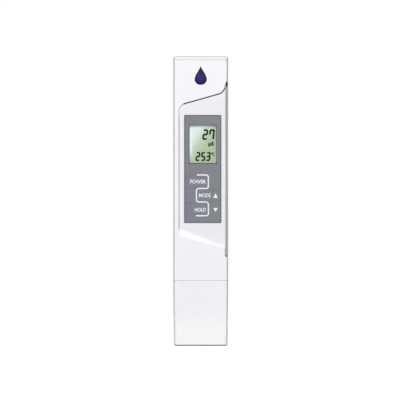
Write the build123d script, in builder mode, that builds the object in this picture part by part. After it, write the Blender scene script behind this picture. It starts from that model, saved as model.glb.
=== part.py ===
from build123d import *
from math import cos, radians, tan
import os

os.makedirs("parts", exist_ok=True)

# Millimetres. The tester stands on its cap: +Z runs up its length, the display faces -Y, and the
# origin is the middle of the cap's flat end.

# Body
body_depth = 14.0
grip_length = 29.68
front_draft = 0.7
back_draft = 0.7
front_edge_radius = 0.5
back_edge_radius = 2.2
end_edge_bevel = 0.4
parting_y = 0.8
front_wall = 2.2
back_wall = 1.5
side_wall = 2.1
side_cut_reach = 1.5
front_cut_reach = 1.0
end_wall = 2.0
cavity_corner = 1.0
seam_gap = 0.12
tongue_width = 0.6
tongue_height = 1.0
tongue_gap = 0.1

# Cap and the neck that it grips
cap_length = 33.8
cap_wall = 1.6
cap_taper = 0.5
cap_inner_corner = 2.8
cap_rim_chamfer = 0.2
neck_gap = 0.4
neck_height = 9.4
seal_gap = 0.12
seal_height = 1.3
seal_thickness = 0.9
seal_edge_chamfer = 0.3
neck_seal_drop = 4.0

# Probe
root_width = 19.0
root_depth = 7.5
root_corner = 1.5
flange_thickness = 2.0
flange_gap = 0.35
fork_width = 18.0
fork_depth = 8.0
fork_corner = 2.0
fork_tip_height = 7.0
fork_tip_chamfer = 0.8
slot_width = 11.0
fork_root_height = 4.5
electrode_radius = 0.8
electrode_length = 7.5
electrode_spacing = 6.4
electrode_tip_chamfer = 0.3
lead_radius = 0.5
lead_overlap = 3.2
lead_gap = 0.1
sensor_radius = 1.2
sensor_length = 6.5
sensor_shank = 6.0
sensor_tip_chamfer = 0.6
pin_fit = 0.02

# Sunk panel on the front
recess_depth = 1.0
recess_left_margin = 3.3
recess_wall_run = 0.65
recess_rise = 15.8
recess_upturn_margin = 2.36
recess_upturn = 72.0
recess_top_corner = 4.0
recess_upturn_radius = 5.0
recess_above_overlay = 7.9
recess_below_overlay = 6.9
ramp_fall = 21.8
ramp_run = 3.1
ramp_outer_fall = 16.0
ramp_corner = 1.6
ramp_outer_corner = 3.0
relief_width = 1.25
relief_side_inset = 0.25
relief_reach = 3.5
relief_above_upturn = 5.1
relief_below_ramp = 10.2
notch_width = 1.2
notch_height = 1.6
notch_depth = 2.6
groove_width = 0.6
groove_depth = 0.6
groove_left_margin = 5.4

# Overlay, keys and display window
overlay_left_margin = 5.7
overlay_right_margin = 3.6
overlay_below_keys = 3.81
overlay_corner = 0.5
overlay_thickness = 0.4
overlay_proud = 0.1
overlay_above_window = 5.3
overlay_fit = 0.05
window_side_margin = 2.85
window_height = 19.5
window_corner = 0.4
window_fit = 0.05
window_flange = 0.8
window_flange_thickness = 0.4
key_pitch = 7.03
key_height = 5.96
key_length = 11.2
key_gap = 0.06
key_corner = 0.8
key_relief = 0.45
key_relief_margin = 0.15
keys_below_window = 6.3
key_inset = 1.0
plunger_radius = 1.3
plunger_gap = 0.3

# Key switches
switch_size = 6.0
switch_height = 3.3
switch_corner = 0.4
switch_cover_thickness = 0.2
switch_cover_size = 5.6
switch_leg_width = 0.7
switch_leg_height = 0.3
stem_radius = 1.7
stem_skirt_radius = 2.1
stem_skirt_height = 0.6
stem_height = 0.8
stem_gap = 0.1
stem_cavity_depth = 1.4

# Circuit board
board_thickness = 1.0
board_side_gap = 1.2
board_corner = 1.0
board_gap = 0.7
board_above_flange = 8.0
chip_size = 7.0
chip_height = 1.2
chip_above_keys = 11.0
chip_pin_count = 8
chip_pin_pitch = 0.8
chip_pin_width = 0.4
chip_pin_reach = 0.9
chip_pin_height = 0.4
crystal_radius = 1.0
crystal_length = 6.0
crystal_bevel = 0.3
crystal_edge = 4.0
parts_above_chip = 1.5
capacitor_length = 1.6
capacitor_width = 0.9
capacitor_height = 0.8
capacitor_pitch = 3.0
capacitor_count = 4
capacitor_edge = 3.5

# Display stack
glass_beside_window = 1.7
glass_thickness = 0.7
glass_above_window = 1.25
glass_below_window = 1.6
glass_ledge = 2.4
glass_fit = 0.1
reflector_thickness = 0.12
reflector_margin = 0.2
frame_wall = 1.1
frame_gap = 0.12
frame_lip = 1.2
frame_boss_gap = 0.25
strip_width = 1.9
strip_margin = 1.0

# Battery tray and cell
plate_thickness = 1.7
tray_neck_height = 4.0
tray_gap = 0.25
tray_wall = 1.2
tray_rail = 1.6
cell_to_rail = 0.25
tray_seal_drop = 1.3
cell_diameter = 20.0
cell_thickness = 3.2
cell_cap_radius = 8.7
cell_cap_height = 0.5
cell_edge_chamfer = 0.3
cell_cap_chamfer = 0.15
cell_fit = 0.1
cell_proud = 0.05
ledge_thickness = 0.7
ledge_window_radius = 7.5
leaf_width = 3.0
leaf_thickness = 0.25
leaf_gap = 0.05
leaf_foot = 1.3
leaf_bend = 0.3
leaf_overlap = 11.0
leaf_x = 3.0
leaf_channel_gap = 0.4
nail_notch_width = 8.0
nail_notch_height = 1.2
nail_notch_depth = 0.8

# Housing screws
screw_radius = 0.9
screw_head_radius = 1.9
screw_head_height = 1.3
screw_head_sunk = 0.3
screw_hole_gap = 0.25
screw_pilot_gap = 0.05
screw_depth = 3.6
screw_tip_gap = 0.1
screw_drive_radius = 0.6
screw_drive_depth = 0.6
screw_edge = 3.0
screw_side = 1.8
boss_radius = 2.2

# Levels along the depth
front_y = -body_depth / 2
back_y = body_depth / 2
floor_y = front_y + recess_depth
overlay_back_y = floor_y - overlay_proud + overlay_thickness
cavity_front_y = front_y + front_wall
cavity_back_y = back_y - back_wall
cavity_depth = cavity_back_y - cavity_front_y
cavity_middle_y = (cavity_front_y + cavity_back_y) / 2
board_front_y = lead_radius + lead_gap
board_back_y = board_front_y + board_thickness
window_back_y = overlay_back_y + window_flange_thickness
glass_front_y = cavity_front_y + frame_gap
glass_middle_y = glass_front_y + glass_thickness
glass_back_y = glass_middle_y + glass_thickness
reflector_back_y = glass_back_y + reflector_thickness
switch_top_y = board_front_y - switch_height
stem_top_y = switch_top_y - switch_cover_thickness - stem_height
cell_front_y = cavity_middle_y - cell_thickness / 2
cell_back_y = cavity_middle_y + cell_thickness / 2
web_front_y = cell_front_y + cell_proud
web_back_y = cell_back_y + ledge_thickness

# Levels up the length
housing_bottom = cap_length + seam_gap
cavity_bottom = housing_bottom + end_wall
flange_top = cavity_bottom + flange_thickness
overlay_height = (
    overlay_above_window + window_height + keys_below_window + 3 * key_pitch + overlay_below_keys
)
overlay_bottom = housing_bottom + grip_length
overlay_top = overlay_bottom + overlay_height
overlay_centre_z = overlay_bottom + overlay_height / 2
window_top = overlay_top - overlay_above_window
window_bottom = window_top - window_height
window_centre_z = window_top - window_height / 2
first_key_z = window_bottom - keys_below_window - key_pitch / 2
rear_glass_bottom = window_bottom - glass_below_window
front_glass_bottom = rear_glass_bottom - glass_ledge
glass_top = window_top + glass_above_window
frame_top = glass_top + glass_fit + frame_wall
frame_bottom = front_glass_bottom - glass_fit - frame_wall
upper_screw_z = frame_top + frame_boss_gap + boss_radius
board_top = upper_screw_z + screw_edge
board_bottom = flange_top + board_above_flange
board_height = board_top - board_bottom
lower_screw_z = board_bottom + screw_edge
pocket_radius = cell_diameter / 2 + cell_fit
tray_bottom = board_top + board_gap
cell_centre_z = tray_bottom + tray_wall + pocket_radius
tray_neck_bottom = cell_centre_z + pocket_radius
plate_bottom = tray_neck_bottom + tray_neck_height
housing_top = plate_bottom - seam_gap
neck_bottom = housing_bottom - neck_height
slot_top = neck_bottom - fork_root_height
seal_centre_z = housing_bottom - neck_seal_drop
chip_z = first_key_z + chip_above_keys
above_chip_z = chip_z + chip_size / 2 + chip_pin_reach + parts_above_chip
recess_top_z = overlay_top + recess_above_overlay
ramp_z = overlay_bottom - recess_below_overlay
rise = tan(radians(recess_rise))
steep = tan(radians(recess_upturn))

# Sizes across the width: the coin cell, its tray and the walls make the body's width
tray_width = 2 * (pocket_radius + cell_to_rail + tray_rail)
cavity_width = tray_width + 2 * tray_gap
body_width = cavity_width + 2 * side_wall
tray_depth = cavity_depth - 2 * tray_gap
tray_corner = cavity_corner - tray_gap
cap_inner_width = body_width - 2 * cap_wall
cap_inner_depth = body_depth - 2 * cap_wall
neck_width = cap_inner_width - 2 * neck_gap
neck_depth = cap_inner_depth - 2 * neck_gap
neck_corner = cap_inner_corner - neck_gap
board_width = cavity_width - 2 * board_side_gap
screw_x = board_width / 2 - screw_side
crystal_x = board_width / 2 - crystal_edge
capacitor_x = capacitor_edge - board_width / 2
overlay_width = body_width - overlay_left_margin - overlay_right_margin
panel_x = (overlay_left_margin - overlay_right_margin) / 2
window_width = overlay_width - 2 * window_side_margin
glass_width = window_width + 2 * glass_beside_window
recess_left = recess_left_margin - body_width / 2
recess_upturn_x = body_width / 2 - recess_upturn_margin
past_side = body_width / 2 + side_cut_reach
key_right_x = panel_x + overlay_width / 2 - key_inset
key_left_x = panel_x - overlay_width / 2 + key_inset

# The middle of each key's pad
keys = {
    "power": (key_left_x + key_length / 2, first_key_z),
    "mode": (key_right_x - key_length / 2, first_key_z - key_pitch),
    "hold": (key_left_x + key_length / 2, first_key_z - 2 * key_pitch),
}
screw_places = [
    (side * screw_x, height)
    for side in (-1, 1)
    for height in (lower_screw_z, upper_screw_z)
]
body_corners = [
    (front_draft - body_width / 2, front_y),
    (body_width / 2 - front_draft, front_y),
    (body_width / 2, parting_y),
    (body_width / 2 - back_draft, back_y),
    (back_draft - body_width / 2, back_y),
    (-body_width / 2, parting_y),
]


def facing(y):
    """Plane across the depth at y, with X to the right, Z up and its normal towards the front."""
    return Plane.XZ.offset(-y)


def body_section(height):
    """Outline of the body at a height: drafted sides, crisp front edges and soft back edges."""
    radii = [front_edge_radius] * 2 + [0] + [back_edge_radius] * 2 + [0]
    with BuildSketch(Plane.XY.offset(height)) as section:
        with BuildLine():
            FilletPolyline(*body_corners, radius=radii, close=True)
        make_face()
    return section.sketch


def rounded_section(height, width, depth, corner, middle_y=0.0):
    """Rounded rectangle lying across the body at a height."""
    with BuildSketch(Plane.XY.offset(height)) as section:
        with Locations((0, middle_y)):
            RectangleRounded(width, depth, corner)
    return section.sketch


def panel_section(y, x, z, width, height, corner):
    """Rounded rectangle facing the front at depth y."""
    with BuildSketch(facing(y)) as section:
        with Locations((x, z)):
            RectangleRounded(width, height, corner)
    return section.sketch


def block(y_front, y_back, x, z, width, height, corner):
    """Rounded block between two depths, as a solid of its own."""
    with BuildPart() as piece:
        extrude(panel_section(y_back, x, z, width, height, corner), amount=y_back - y_front)
    return piece.part


def slope_z(x, run):
    """Height at x of the sunk panel's sloping top edge, moved outwards by run."""
    return recess_top_z + rise * x + run / cos(radians(recess_rise))


def upturn_x(run):
    """Where the sloping top edge turns up towards the side, moved outwards by run."""
    upturn_shift = run / cos(radians(recess_upturn)) - run / cos(radians(recess_rise))
    return recess_upturn_x - upturn_shift / (steep - rise)


def recess_outline(level):
    """Outline of the sunk panel: level 0 at its floor, level 1 where it meets the front face."""
    run = level * recess_wall_run
    fall = tan(radians(ramp_fall + level * (ramp_outer_fall - ramp_fall)))
    left = recess_left - run
    corner_x = upturn_x(run)
    ramp_level_z = ramp_z - level * ramp_run
    radii = [
        ramp_corner + level * (ramp_outer_corner - ramp_corner),
        recess_top_corner + run,
        recess_upturn_radius - run,
        0,
        0,
    ]
    with BuildSketch(facing(floor_y - level * recess_depth)) as outline:
        with BuildLine():
            FilletPolyline(
                (left, ramp_level_z - fall * left),
                (left, slope_z(left, run)),
                (corner_x, slope_z(corner_x, run)),
                (past_side, slope_z(corner_x, run) + steep * (past_side - corner_x)),
                (past_side, ramp_level_z - fall * past_side),
                radius=radii,
                close=True,
            )
        make_face()
    return outline.sketch


def seal_ring(bottom, width, depth, corner, middle_y=0.0):
    """Soft ring of rounded section around a rounded rectangle, which is its outer outline."""
    with BuildPart() as ring:
        extrude(rounded_section(bottom, width, depth, corner, middle_y), amount=seal_height)
        inner = rounded_section(
            bottom,
            width - 2 * seal_thickness,
            depth - 2 * seal_thickness,
            corner - seal_thickness / 2,
            middle_y,
        )
        extrude(inner, amount=seal_height, mode=Mode.SUBTRACT)
        chamfer(ring.edges().filter_by(Plane.XY), seal_edge_chamfer)
    return ring.part


def round_pin(x, bottom, shoulder, top, radius, thin_radius, tip):
    """Round pin along Z with a bevelled lower end and a thinner wire above its shoulder."""
    with BuildPart() as pin:
        with BuildSketch(Plane.XZ):
            with BuildLine():
                Polyline(
                    (x, bottom),
                    (x + radius - tip, bottom),
                    (x + radius, bottom + tip),
                    (x + radius, shoulder),
                    (x + thin_radius, shoulder),
                    (x + thin_radius, top),
                    (x, top),
                    close=True,
                )
            make_face()
        revolve(axis=Axis((x, 0, 0), (0, 0, 1)))
    return pin.part


def housing_shell(side):
    """Half of the moulded housing: the outer form, hollowed, cut at the parting plane."""
    with BuildPart() as shell:
        extrude(body_section(housing_bottom), amount=housing_top - housing_bottom)
        cavity = rounded_section(
            cavity_bottom, cavity_width, cavity_depth, cavity_corner, cavity_middle_y
        )
        extrude(cavity, amount=housing_top - cavity_bottom, mode=Mode.SUBTRACT)
        throat = rounded_section(
            housing_bottom, root_width + 2 * pin_fit, root_depth + 2 * pin_fit, root_corner
        )
        extrude(throat, amount=end_wall, mode=Mode.SUBTRACT)
        split(bisect_by=facing(parting_y), keep=side)
    return shell.part


def side_tongues(width, height, y_back):
    """Pair of bars along the two long walls, where the halves of the housing key together."""
    reach = housing_top - cavity_bottom
    with BuildPart() as tongues:
        with BuildSketch(facing(y_back)):
            for side in (-1, 1):
                with Locations((side * (cavity_width / 2 + width / 2), cavity_bottom + reach / 2)):
                    Rectangle(width, reach)
        extrude(amount=height)
    return tongues.part


# Front housing
with BuildPart() as front_housing:
    add(housing_shell(Keep.TOP))
    loft([recess_outline(0), recess_outline(1)], ruled=True, mode=Mode.SUBTRACT)
    # Shadow groove at the foot of the sloping top edge, out to the right side
    groove_run = groove_width / 2
    groove_start_x = groove_left_margin - body_width / 2
    turn_x = upturn_x(groove_run)
    with BuildSketch(facing(floor_y + groove_depth)):
        with BuildLine():
            FilletPolyline(
                (groove_start_x, slope_z(groove_start_x, groove_run)),
                (turn_x, slope_z(turn_x, groove_run)),
                (past_side, slope_z(turn_x, groove_run) + steep * (past_side - turn_x)),
                radius=recess_upturn_radius - groove_run,
            )
        trace(line_width=groove_width)
    extrude(amount=groove_depth + recess_depth + front_cut_reach, mode=Mode.SUBTRACT)
    # The right edge beside the sunk panel is cut back to a steep band
    band_top = recess_top_z + rise * recess_upturn_x + relief_above_upturn
    band_bottom = ramp_z - relief_below_ramp
    band_side_x = body_width / 2 - relief_side_inset
    band_slope = relief_width / relief_reach
    past_front_y = front_y - front_cut_reach
    with BuildSketch(Plane.XY.offset(band_bottom)):
        with BuildLine():
            Polyline(
                (band_side_x, floor_y + relief_reach),
                (past_side, floor_y + relief_reach),
                (past_side, past_front_y),
                (band_side_x - relief_width - band_slope * (floor_y - past_front_y), past_front_y),
                close=True,
            )
        make_face()
    extrude(amount=band_top - band_bottom, mode=Mode.SUBTRACT)
    with BuildSketch(facing(front_y)):
        with Locations((body_width / 2 - notch_width / 2, band_top - notch_height / 2)):
            Rectangle(notch_width, notch_height)
    extrude(amount=-(recess_depth + notch_depth), mode=Mode.SUBTRACT)
    # Pocket for the overlay, rebate for the window's flange and the opening behind it
    pocket = panel_section(
        floor_y,
        panel_x,
        overlay_centre_z,
        overlay_width + 2 * overlay_fit,
        overlay_height + 2 * overlay_fit,
        overlay_corner,
    )
    extrude(pocket, amount=floor_y - overlay_back_y, mode=Mode.SUBTRACT)
    rebate = panel_section(
        overlay_back_y,
        panel_x,
        window_centre_z,
        window_width + 2 * window_flange,
        window_height + 2 * window_flange,
        window_corner,
    )
    extrude(rebate, amount=overlay_back_y - window_back_y, mode=Mode.SUBTRACT)
    opening = panel_section(
        window_back_y, panel_x, window_centre_z, window_width, window_height, window_corner
    )
    extrude(opening, amount=window_back_y - cavity_front_y, mode=Mode.SUBTRACT)
    # Each key sinks into a shallow relief, with a hole for its plunger
    for key_x, key_z in keys.values():
        relief = panel_section(
            overlay_back_y,
            key_x,
            key_z,
            key_length + 2 * key_relief_margin,
            key_height + 2 * key_relief_margin,
            key_corner + key_relief_margin,
        )
        extrude(relief, amount=-key_relief, mode=Mode.SUBTRACT)
    with BuildSketch(facing(overlay_back_y)):
        with Locations(*keys.values()):
            Circle(plunger_radius + plunger_gap)
    extrude(amount=overlay_back_y - cavity_front_y, mode=Mode.SUBTRACT)
    # Screw bosses, and the groove that takes the other half's tongue
    with BuildSketch(facing(board_front_y)):
        with Locations(*screw_places):
            Circle(boss_radius)
    extrude(amount=board_front_y - cavity_front_y)
    with BuildSketch(facing(board_front_y)):
        with Locations(*screw_places):
            Circle(screw_radius + screw_pilot_gap)
    extrude(amount=screw_depth, mode=Mode.SUBTRACT)
    add(
        side_tongues(tongue_width + tongue_gap, tongue_height + tongue_gap, parting_y),
        mode=Mode.SUBTRACT,
    )
front_housing.part.label = "front_housing"
export_step(front_housing.part, "parts/front_housing.step")

# Rear housing
with BuildPart() as rear_housing:
    add(housing_shell(Keep.BOTTOM))
    add(side_tongues(tongue_width, tongue_height, parting_y))
    with BuildSketch(facing(cavity_back_y)):
        with Locations(*screw_places):
            Circle(boss_radius)
    extrude(amount=cavity_back_y - board_back_y)
    with BuildSketch(facing(back_y)):
        with Locations(*screw_places):
            Circle(screw_radius + screw_hole_gap)
    extrude(amount=back_y - board_back_y, mode=Mode.SUBTRACT)
    with BuildSketch(facing(back_y)):
        with Locations(*screw_places):
            Circle(screw_head_radius + screw_hole_gap)
    extrude(amount=screw_head_height + screw_head_sunk, mode=Mode.SUBTRACT)
    # Fingernail notch under the battery tray's end plate
    with BuildSketch(facing(back_y)):
        with Locations((0, housing_top - nail_notch_height / 2)):
            Rectangle(nail_notch_width, nail_notch_height)
    extrude(amount=nail_notch_depth, mode=Mode.SUBTRACT)
rear_housing.part.label = "rear_housing"
export_step(rear_housing.part, "parts/rear_housing.step")

# Four screws from the back, each through the board into a front boss
with BuildPart() as housing_screws:
    head_y = back_y - screw_head_sunk
    seat_y = head_y - screw_head_height
    with BuildSketch(facing(head_y)):
        with Locations(*screw_places):
            Circle(screw_head_radius)
    extrude(amount=screw_head_height)
    with BuildSketch(facing(seat_y)):
        with Locations(*screw_places):
            Circle(screw_radius)
    extrude(amount=seat_y - board_front_y + screw_depth - screw_tip_gap)
    with BuildSketch(facing(head_y)):
        with Locations(*screw_places):
            RegularPolygon(screw_drive_radius, 6)
    extrude(amount=screw_drive_depth, mode=Mode.SUBTRACT)
housing_screws.part.label = "housing_screws"
export_step(housing_screws.part, "parts/housing_screws.step")

# Grey overlay with its openings
with BuildPart() as keypad_overlay:
    sheet = panel_section(
        overlay_back_y, panel_x, overlay_centre_z, overlay_width, overlay_height, overlay_corner
    )
    extrude(sheet, amount=overlay_thickness)
    hole = panel_section(
        overlay_back_y, panel_x, window_centre_z, window_width, window_height, window_corner
    )
    extrude(hole, amount=overlay_thickness, mode=Mode.SUBTRACT)
    for key_x, key_z in keys.values():
        hole = panel_section(
            overlay_back_y,
            key_x,
            key_z,
            key_length + 2 * key_gap,
            key_height + 2 * key_gap,
            key_corner + key_gap,
        )
        extrude(hole, amount=overlay_thickness, mode=Mode.SUBTRACT)
keypad_overlay.part.label = "keypad_overlay"
export_step(keypad_overlay.part, "parts/keypad_overlay.step")

# Clear window: a raised pane with a flange under the overlay
with BuildPart() as display_window:
    flange = panel_section(
        window_back_y,
        panel_x,
        window_centre_z,
        window_width + 2 * (window_flange - window_fit),
        window_height + 2 * (window_flange - window_fit),
        window_corner,
    )
    extrude(flange, amount=window_flange_thickness)
    pane = panel_section(
        overlay_back_y,
        panel_x,
        window_centre_z,
        window_width - 2 * window_fit,
        window_height - 2 * window_fit,
        window_corner,
    )
    extrude(pane, amount=overlay_thickness)
display_window.part.label = "display_window"
export_step(display_window.part, "parts/display_window.step")

# Keys and the switch under each
for key_name, (key_x, key_z) in keys.items():
    with BuildPart() as key:
        pad = panel_section(overlay_back_y, key_x, key_z, key_length, key_height, key_corner)
        extrude(pad, amount=overlay_thickness)
        with BuildSketch(facing(stem_top_y)):
            with Locations((key_x, key_z)):
                Circle(plunger_radius)
        extrude(amount=stem_top_y - overlay_back_y)
    key.part.label = key_name + "_key"
    export_step(key.part, "parts/" + key_name + "_key.step")

    with BuildPart() as switch_base:
        base = panel_section(board_front_y, key_x, key_z, switch_size, switch_size, switch_corner)
        extrude(base, amount=switch_height)
        with BuildSketch(facing(switch_top_y)):
            with Locations((key_x, key_z)):
                Circle(stem_skirt_radius + stem_gap)
        extrude(amount=-stem_cavity_depth, mode=Mode.SUBTRACT)
        with BuildSketch(facing(board_front_y)):
            with Locations((key_x, key_z)):
                with GridLocations(switch_size, switch_size - 2 * switch_leg_width, 2, 2):
                    Rectangle(2 * switch_leg_width, switch_leg_width)
        extrude(amount=switch_leg_height)
    switch_base.part.label = key_name + "_switch_base"
    export_step(switch_base.part, "parts/" + key_name + "_switch_base.step")

    with BuildPart() as switch_cover:
        plate = panel_section(
            switch_top_y, key_x, key_z, switch_cover_size, switch_cover_size, switch_corner
        )
        extrude(plate, amount=switch_cover_thickness)
        with BuildSketch(facing(switch_top_y)):
            with Locations((key_x, key_z)):
                Circle(stem_radius + stem_gap)
        extrude(amount=switch_cover_thickness, mode=Mode.SUBTRACT)
    switch_cover.part.label = key_name + "_switch_cover"
    export_step(switch_cover.part, "parts/" + key_name + "_switch_cover.step")

    with BuildPart() as switch_stem:
        with BuildSketch(facing(stem_top_y)):
            with Locations((key_x, key_z)):
                Circle(stem_radius)
        extrude(amount=stem_top_y - switch_top_y - stem_gap)
        with BuildSketch(facing(switch_top_y + stem_gap)):
            with Locations((key_x, key_z)):
                Circle(stem_skirt_radius)
        extrude(amount=-stem_skirt_height)
    switch_stem.part.label = key_name + "_switch_stem"
    export_step(switch_stem.part, "parts/" + key_name + "_switch_stem.step")

# Display: two glasses, the front one with a ledge that carries its contacts
display_glasses = {
    "lcd_front_glass": (glass_front_y, glass_middle_y, front_glass_bottom),
    "lcd_rear_glass": (glass_middle_y, glass_back_y, rear_glass_bottom),
}
for glass_name, (near_y, far_y, glass_bottom) in display_glasses.items():
    with BuildPart() as glass:
        with BuildSketch(facing(far_y)):
            with Locations((panel_x, (glass_top + glass_bottom) / 2)):
                Rectangle(glass_width, glass_top - glass_bottom)
        extrude(amount=far_y - near_y)
    glass.part.label = glass_name
    export_step(glass.part, "parts/" + glass_name + ".step")

with BuildPart() as lcd_reflector:
    with BuildSketch(facing(reflector_back_y)):
        with Locations((panel_x, (glass_top + rear_glass_bottom) / 2)):
            Rectangle(
                glass_width - 2 * reflector_margin,
                glass_top - rear_glass_bottom - 2 * reflector_margin,
            )
    extrude(amount=reflector_thickness)
lcd_reflector.part.label = "lcd_reflector"
export_step(lcd_reflector.part, "parts/lcd_reflector.step")

with BuildPart() as lcd_frame:
    frame_height = frame_top - frame_bottom
    frame_centre_z = (frame_top + frame_bottom) / 2
    frame_width = glass_width + 2 * (glass_fit + frame_wall)
    glass_height = glass_top - front_glass_bottom
    add(
        block(
            glass_front_y, board_front_y, panel_x, frame_centre_z, frame_width, frame_height, frame_wall
        )
    )
    with BuildSketch(facing(reflector_back_y)):
        with Locations((panel_x, frame_centre_z)):
            Rectangle(glass_width + 2 * glass_fit, glass_height + 2 * glass_fit)
    extrude(amount=reflector_back_y - glass_front_y, mode=Mode.SUBTRACT)
    with BuildSketch(facing(board_front_y)):
        with Locations((panel_x, (glass_top + rear_glass_bottom) / 2)):
            Rectangle(glass_width - 2 * frame_lip, glass_top - rear_glass_bottom - 2 * frame_lip)
    extrude(amount=board_front_y - reflector_back_y, mode=Mode.SUBTRACT)
    with BuildSketch(facing(board_front_y)):
        with Locations((panel_x, front_glass_bottom + glass_ledge / 2)):
            Rectangle(
                glass_width - 2 * strip_margin + 2 * glass_fit,
                strip_width + 2 * glass_fit,
            )
    extrude(amount=board_front_y - reflector_back_y, mode=Mode.SUBTRACT)
lcd_frame.part.label = "lcd_frame"
export_step(lcd_frame.part, "parts/lcd_frame.step")

with BuildPart() as zebra_strip:
    with BuildSketch(facing(board_front_y)):
        with Locations((panel_x, front_glass_bottom + glass_ledge / 2)):
            Rectangle(glass_width - 2 * strip_margin, strip_width)
    extrude(amount=board_front_y - glass_middle_y)
zebra_strip.part.label = "zebra_strip"
export_step(zebra_strip.part, "parts/zebra_strip.step")

# Circuit board and what is soldered on its back
with BuildPart() as circuit_board:
    board_centre_z = (board_top + board_bottom) / 2
    add(
        block(
            board_front_y, board_back_y, 0, board_centre_z, board_width, board_height, board_corner
        )
    )
    with BuildSketch(facing(board_front_y)):
        with Locations(*screw_places):
            Circle(screw_radius + screw_hole_gap)
    extrude(amount=-board_thickness, mode=Mode.SUBTRACT)
circuit_board.part.label = "circuit_board"
export_step(circuit_board.part, "parts/circuit_board.step")

with BuildPart() as controller_chip:
    with BuildSketch(facing(board_back_y)):
        with Locations((0, chip_z)):
            Rectangle(chip_size, chip_size)
    extrude(amount=-chip_height)
    chamfer(controller_chip.edges().group_by(Axis.Y)[-1], chip_pin_width / 2)
    pin_span = chip_size + chip_pin_reach
    with BuildSketch(facing(board_back_y)):
        with Locations((0, chip_z)):
            with GridLocations(pin_span, chip_pin_pitch, 2, chip_pin_count):
                Rectangle(chip_pin_reach, chip_pin_width)
            with GridLocations(chip_pin_pitch, pin_span, chip_pin_count, 2):
                Rectangle(chip_pin_width, chip_pin_reach)
    extrude(amount=-chip_pin_height)
controller_chip.part.label = "controller_chip"
export_step(controller_chip.part, "parts/controller_chip.step")

with BuildPart() as quartz_crystal:
    with BuildSketch(Plane.XY.offset(above_chip_z)):
        with Locations((crystal_x, board_back_y + crystal_radius)):
            Circle(crystal_radius)
    extrude(amount=crystal_length)
    chamfer(quartz_crystal.edges().filter_by(GeomType.CIRCLE), crystal_bevel)
quartz_crystal.part.label = "quartz_crystal"
export_step(quartz_crystal.part, "parts/quartz_crystal.step")

with BuildPart() as board_capacitors:
    with BuildSketch(facing(board_back_y)):
        for place in range(capacitor_count):
            with Locations((capacitor_x, above_chip_z + place * capacitor_pitch)):
                Rectangle(capacitor_length, capacitor_width, align=(Align.CENTER, Align.MIN))
    extrude(amount=-capacitor_height)
board_capacitors.part.label = "board_capacitors"
export_step(board_capacitors.part, "parts/board_capacitors.step")

# Battery tray: end plate, sealed neck, two rails and the web that holds the cell
with BuildPart() as battery_tray:
    extrude(body_section(plate_bottom), amount=plate_thickness)
    chamfer(battery_tray.edges().group_by(Axis.Z)[-1], end_edge_bevel)
    neck = rounded_section(
        tray_neck_bottom, tray_width, tray_depth, tray_corner, cavity_middle_y
    )
    extrude(neck, amount=tray_neck_height)
    with BuildSketch(Plane.XY.offset(tray_bottom)):
        for side in (-1, 1):
            with Locations((side * (tray_width - tray_rail) / 2, cavity_middle_y)):
                Rectangle(tray_rail, tray_depth - 2 * tray_corner)
        with Locations((0, (web_front_y + web_back_y) / 2)):
            Rectangle(tray_width - tray_rail, web_back_y - web_front_y)
    extrude(amount=tray_neck_bottom - tray_bottom)
    with BuildSketch(facing(cell_back_y)):
        with Locations((0, cell_centre_z)):
            Circle(pocket_radius)
    extrude(amount=cell_back_y - cavity_front_y, mode=Mode.SUBTRACT)
    with BuildSketch(facing(web_back_y)):
        with Locations((0, cell_centre_z)):
            Circle(ledge_window_radius)
        with Locations((leaf_x, (tray_bottom + cell_centre_z) / 2)):
            Rectangle(leaf_width + 2 * leaf_channel_gap, cell_centre_z - tray_bottom)
    extrude(amount=ledge_thickness, mode=Mode.SUBTRACT)
    groove_bottom = plate_bottom - tray_seal_drop - seal_height
    extrude(
        rounded_section(
            groove_bottom, tray_width + seal_gap, tray_depth + seal_gap, tray_corner, cavity_middle_y
        ),
        amount=seal_height,
        mode=Mode.SUBTRACT,
    )
    groove_inset = 2 * (seal_thickness - seal_gap)
    extrude(
        rounded_section(
            groove_bottom,
            tray_width - groove_inset,
            tray_depth - groove_inset,
            tray_corner / 2,
            cavity_middle_y,
        ),
        amount=seal_height,
    )
battery_tray.part.label = "battery_tray"
export_step(battery_tray.part, "parts/battery_tray.step")

tray_seal = seal_ring(
    plate_bottom - tray_seal_drop - seal_height,
    tray_width + 2 * seal_gap,
    tray_depth + 2 * seal_gap,
    tray_corner + seal_gap / 2,
    cavity_middle_y,
)
tray_seal.label = "tray_seal"
export_step(tray_seal, "parts/tray_seal.step")

with BuildPart() as coin_cell:
    with BuildSketch(Plane.XY.offset(cell_centre_z)):
        with BuildLine():
            Polyline(
                (0, cell_front_y),
                (cell_cap_radius - cell_cap_chamfer, cell_front_y),
                (cell_cap_radius, cell_front_y + cell_cap_chamfer),
                (cell_cap_radius, cell_front_y + cell_cap_height),
                (cell_diameter / 2 - cell_edge_chamfer, cell_front_y + cell_cap_height),
                (cell_diameter / 2, cell_front_y + cell_cap_height + cell_edge_chamfer),
                (cell_diameter / 2, cell_back_y - cell_edge_chamfer),
                (cell_diameter / 2 - cell_edge_chamfer, cell_back_y),
                (0, cell_back_y),
                close=True,
            )
        make_face()
    revolve(axis=Axis((0, 0, cell_centre_z), (0, 1, 0)))
coin_cell.part.label = "coin_cell"
export_step(coin_cell.part, "parts/coin_cell.step")

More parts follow.
